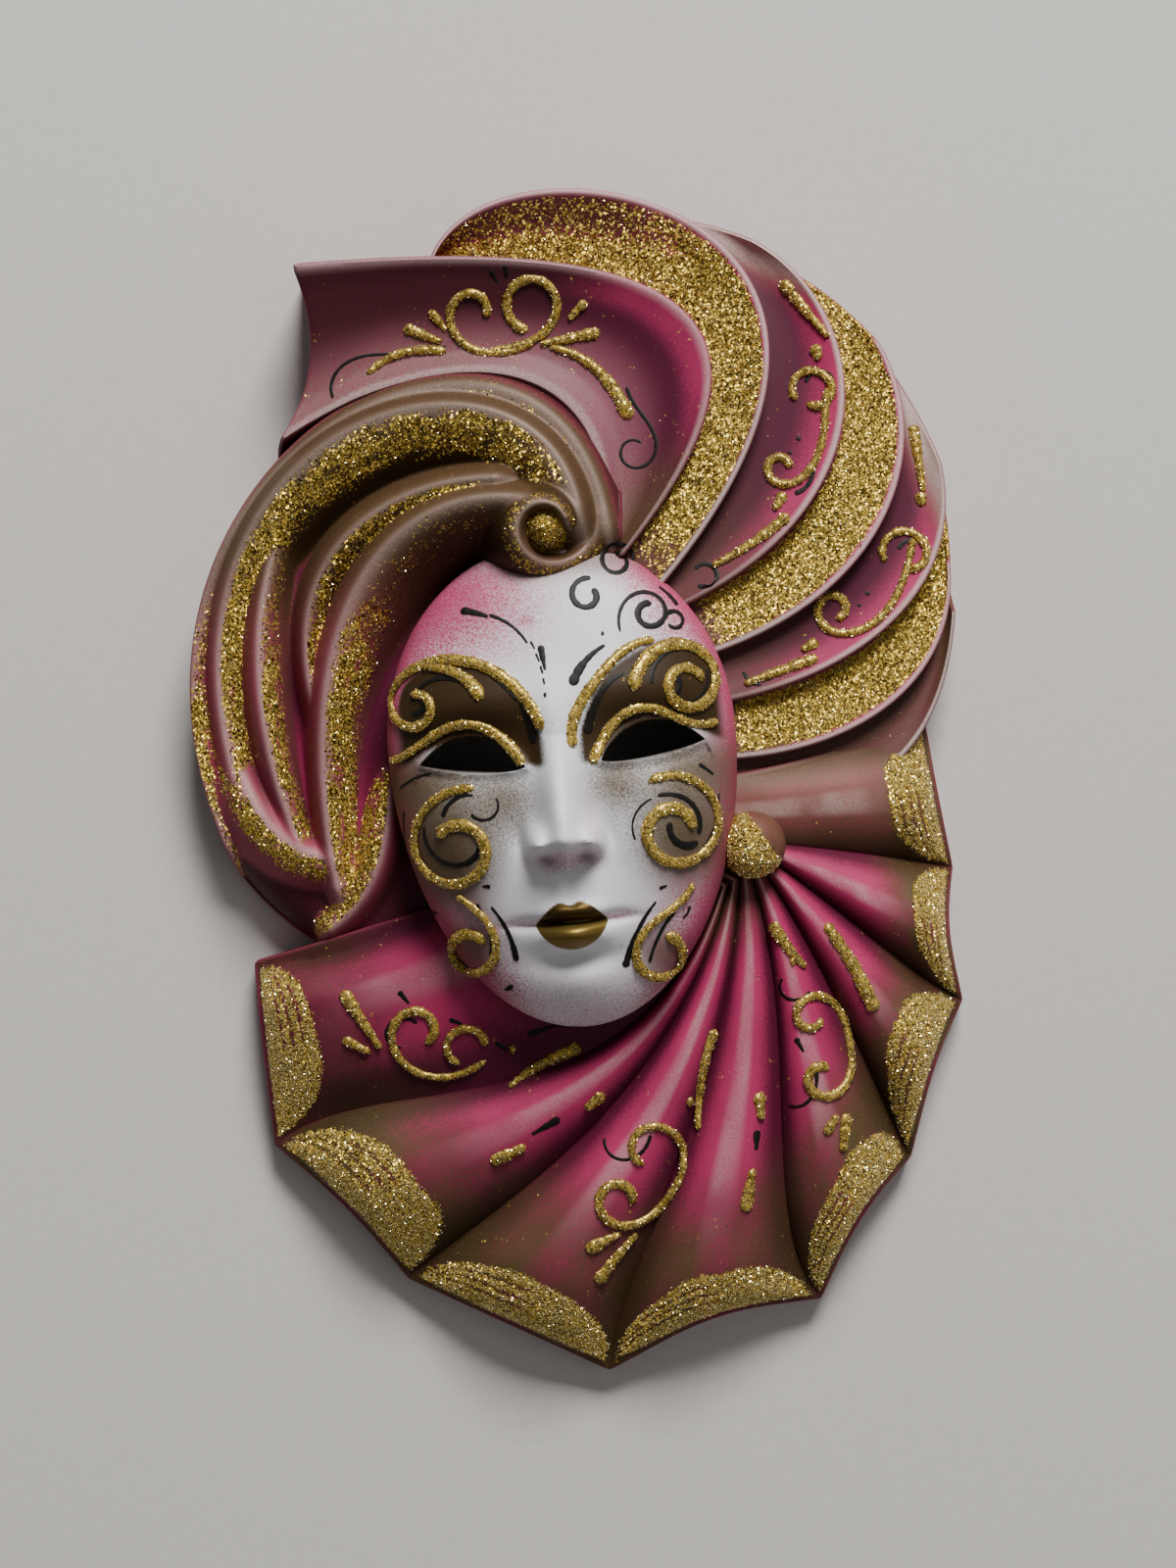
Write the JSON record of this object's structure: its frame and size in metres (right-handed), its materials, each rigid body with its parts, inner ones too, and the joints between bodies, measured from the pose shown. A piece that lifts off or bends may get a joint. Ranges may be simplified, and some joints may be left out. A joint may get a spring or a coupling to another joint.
{
  "type": "venetian wall mask",
  "caption": "Decorative ceramic wall mask with a carnival face, a wave of hair, a pleated fan turban and a scalloped pleated collar, hollow behind, painted rose and gold.",
  "frame": {"origin": "middle of the object's box at the ground back rim", "axes": "+Z out of the face, +Y to the crown of the turban, +X to the side of the ball"},
  "size_m": [0.195, 0.2938, 0.0647],
  "materials": {
    "painted_ceramic": "matt airbrushed rose, white and bronze with gold glitter"
  },
  "bodies": {
    "root": {"mask_shell": "painted_ceramic"}
  },
  "joints": []
}
